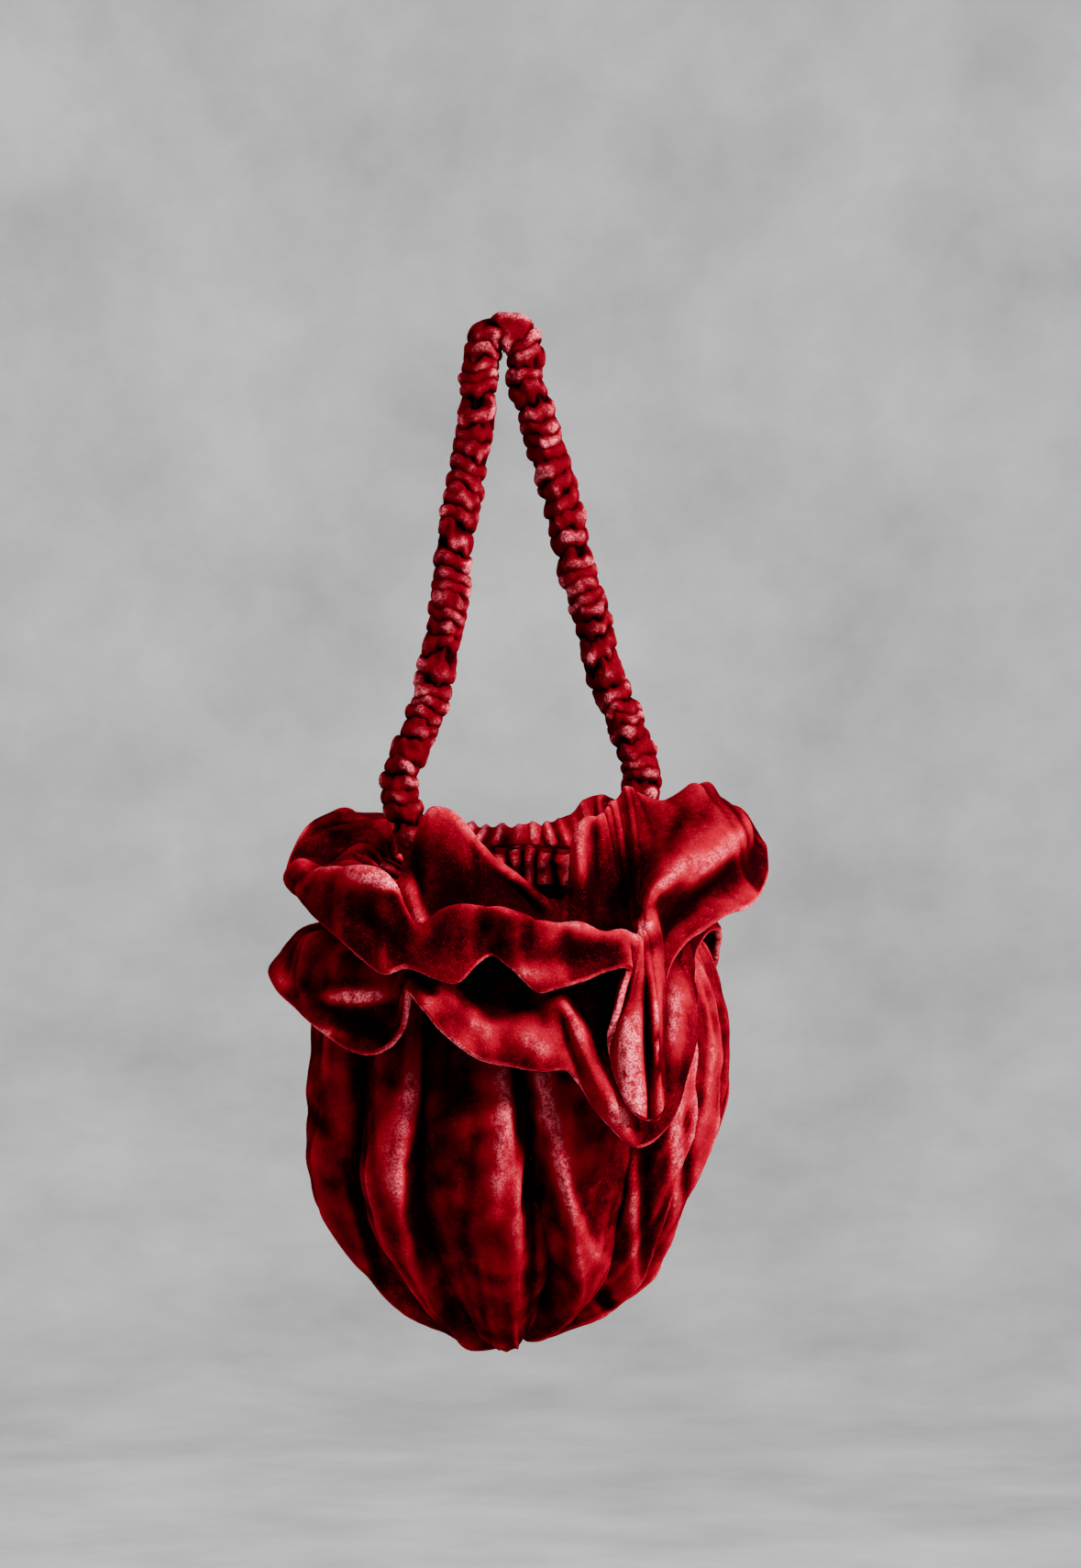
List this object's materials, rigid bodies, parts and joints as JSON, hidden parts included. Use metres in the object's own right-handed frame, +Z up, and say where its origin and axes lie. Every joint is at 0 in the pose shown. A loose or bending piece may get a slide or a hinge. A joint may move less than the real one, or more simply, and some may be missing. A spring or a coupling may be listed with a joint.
{
  "type": "kinchaku drawstring pouch",
  "caption": "Round gathered velvet pouch with a two-tier ruffled mouth and a ruched loop handle, hanging from the handle's crown.",
  "frame": {"origin": "underside of the handle's crown, where a hook, peg or finger holds the pouch", "axes": "+Z up along the hanging line, +X to the right of the front, -Y out of the front towards the viewer"},
  "size_m": [0.2371, 0.2136, 0.4948],
  "materials": {
    "body_velvet": "crushed silk velvet, pile with a pale sheen at grazing angles",
    "upper_ruffle_velvet": "crushed silk velvet, doubled with a soft rolled hem",
    "lower_ruffle_velvet": "crushed silk velvet, doubled with a soft rolled hem",
    "casing_velvet": "velvet strip in fine gathers",
    "sleeve_velvet": "crushed silk velvet, ruched into small rings",
    "elastic_braid": "woven elastic, matt"
  },
  "bodies": {
    "root": {"velvet_body": "body_velvet", "upper_ruffle": "upper_ruffle_velvet", "lower_ruffle": "lower_ruffle_velvet", "mouth_casing": "casing_velvet", "mouth_elastic": "elastic_braid", "handle_sleeve": "sleeve_velvet", "handle_elastic": "elastic_braid"}
  },
  "joints": []
}
